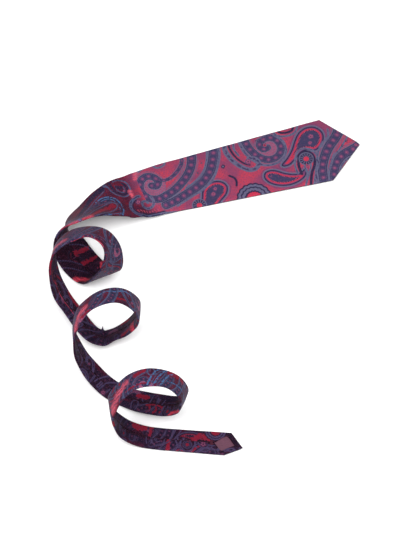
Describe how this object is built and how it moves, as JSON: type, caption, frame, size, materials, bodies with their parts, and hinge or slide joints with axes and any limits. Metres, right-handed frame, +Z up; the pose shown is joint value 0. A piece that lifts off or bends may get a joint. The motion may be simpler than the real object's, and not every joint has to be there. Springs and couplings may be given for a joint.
{
  "type": "necktie",
  "caption": "Woven silk paisley necktie with pointed ends, folded round a canvas strip, lying with its neck curled in open loops.",
  "frame": {"origin": "bottom centre of the whole tie's box, on the plane it lies on", "axes": "+Z up from the table; the wide blade points to +X, and the curl runs from it towards -Y to the narrow tail"},
  "size_m": [0.3499, 0.4322, 0.1034],
  "materials": {
    "silk": "jacquard silk, soft satin sheen",
    "canvas": "matt wool canvas",
    "tipping": "plain lining with a slight sheen",
    "thread": "silk sewing thread"
  },
  "bodies": {
    "curl": {"blade_curl_shell": "silk", "neck_shell": "silk", "tail_curl_shell": "silk", "blade_neck_join": "silk", "neck_tail_join": "silk", "curl_interlining": "canvas", "curl_slip_stitch": "thread"},
    "blade": {"blade_shell": "silk", "blade_interlining": "canvas", "blade_tipping": "tipping", "blade_slip_stitch": "thread", "blade_bar_tack": "thread", "keeper_loop": "silk", "keeper_tack_far": "thread", "keeper_tack_near": "thread"},
    "tail": {"tail_shell": "silk", "tail_interlining": "canvas", "tail_tipping": "tipping", "tail_slip_stitch": "thread", "tail_bar_tack": "thread"}
  },
  "joints": [
    {"name": "blade_flex", "type": "hinge", "parent": "curl", "child": "blade", "pos_m": [-0.02, 0.1317, 0.0041], "axis": [0.2672, -0.9636, 0], "range_deg": [0, 90]},
    {"name": "tail_flex", "type": "hinge", "parent": "curl", "child": "tail", "pos_m": [-0.043, -0.1983, 0.0032], "axis": [-0.0837, -0.9965, 0], "range_deg": [0, 60]}
  ]
}
